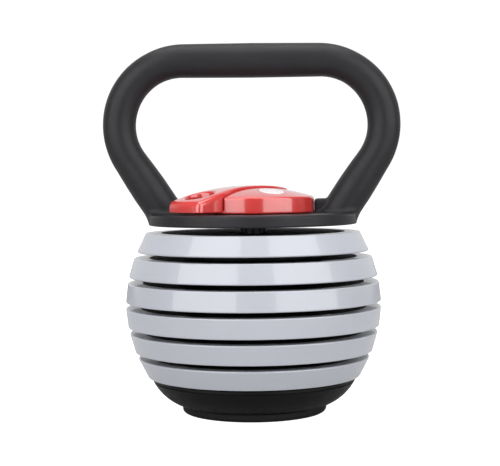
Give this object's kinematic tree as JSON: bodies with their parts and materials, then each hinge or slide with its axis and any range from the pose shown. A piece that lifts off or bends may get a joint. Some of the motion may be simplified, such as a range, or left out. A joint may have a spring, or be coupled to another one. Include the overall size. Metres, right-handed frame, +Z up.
{
  "type": "adjustable kettlebell",
  "caption": "Adjustable kettlebell: cast grip handle with a red selector dial, on a round stack of silver plates in a black base cradle.",
  "frame": {"origin": "centre of the base's foot, on the floor", "axes": "+Z up, +X along the grip to the right, -Y towards the front. At rest the dial's lever points to the front left, 48 degrees from -Y"},
  "size_m": [0.2234, 0.1912, 0.2754],
  "materials": {
    "handle_coat": "satin powder coat, fine texture",
    "plate_silver": "smooth silver-grey enamel",
    "hub_nylon": "moulded black nylon",
    "dial_red": "glossy moulded red",
    "badge_white": "glossy, plain",
    "base_black": "satin moulded black",
    "foot_rubber": "matt black rubber",
    "black_steel": "black oxide",
    "zinc_steel": "zinc plated",
    "bush_nylon": "machined black nylon",
    "spring_steel": "blued spring steel"
  },
  "bodies": {
    "base": {"base_foot": "foot_rubber", "base_shell": "base_black", "base_tray": "base_black", "rod_socket": "hub_nylon", "base_screws": "zinc_steel"},
    "plate_6_unit": {"plate_6": "plate_silver", "plate_6_hub_top": "hub_nylon", "plate_6_hub_bottom": "hub_nylon", "plate_6_hub_screws": "zinc_steel"},
    "plate_5_unit": {"plate_5": "plate_silver", "plate_5_hub_top": "hub_nylon", "plate_5_hub_bottom": "hub_nylon", "plate_5_hub_screws": "zinc_steel"},
    "plate_4_unit": {"plate_4": "plate_silver", "plate_4_hub_top": "hub_nylon", "plate_4_hub_bottom": "hub_nylon", "plate_4_hub_screws": "zinc_steel"},
    "plate_3_unit": {"plate_3": "plate_silver", "plate_3_hub_top": "hub_nylon", "plate_3_hub_bottom": "hub_nylon", "plate_3_hub_screws": "zinc_steel"},
    "plate_2_unit": {"plate_2": "plate_silver", "plate_2_hub_top": "hub_nylon", "plate_2_hub_bottom": "hub_nylon", "plate_2_hub_screws": "zinc_steel"},
    "plate_1_unit": {"plate_1": "plate_silver", "plate_1_hub_top": "hub_nylon", "plate_1_hub_bottom": "hub_nylon", "plate_1_hub_screws": "zinc_steel"},
    "handle": {"handle_frame": "handle_coat", "rod_bush": "bush_nylon", "standoff_pins": "black_steel", "detent_spring": "spring_steel", "spring_rivets": "zinc_steel"},
    "selector": {"selector_dial": "dial_red", "selector_lever": "dial_red", "dial_badge": "badge_white", "dial_bolt": "zinc_steel", "bolt_washer": "zinc_steel", "index_plate": "zinc_steel", "selector_rod": "black_steel", "rod_sleeve": "black_steel", "lock_cams": "zinc_steel", "cam_spacers": "black_steel", "rod_washer": "zinc_steel", "rod_nut": "zinc_steel"}
  },
  "joints": [
    {"name": "plate_6_lift", "type": "slide", "parent": "base", "child": "plate_6_unit", "axis": [0, 0, 1], "range_m": [0, 0.04]},
    {"name": "plate_5_lift", "type": "slide", "parent": "plate_6_unit", "child": "plate_5_unit", "axis": [0, 0, 1], "range_m": [0, 0.04]},
    {"name": "plate_4_lift", "type": "slide", "parent": "plate_5_unit", "child": "plate_4_unit", "axis": [0, 0, 1], "range_m": [0, 0.04]},
    {"name": "plate_3_lift", "type": "slide", "parent": "plate_4_unit", "child": "plate_3_unit", "axis": [0, 0, 1], "range_m": [0, 0.04]},
    {"name": "plate_2_lift", "type": "slide", "parent": "plate_3_unit", "child": "plate_2_unit", "axis": [0, 0, 1], "range_m": [0, 0.04]},
    {"name": "plate_1_lift", "type": "slide", "parent": "plate_2_unit", "child": "plate_1_unit", "axis": [0, 0, 1], "range_m": [0, 0.04]},
    {"name": "handle_lift", "type": "slide", "parent": "plate_1_unit", "child": "handle", "axis": [0, 0, 1], "range_m": [0, 0.125]},
    {"name": "dial_turn", "type": "hinge", "parent": "handle", "child": "selector", "pos_m": [0, 0, 0.157], "axis": [0, 0, 1], "range_deg": [0, 108], "deforming": ["detent_spring"]}
  ]
}
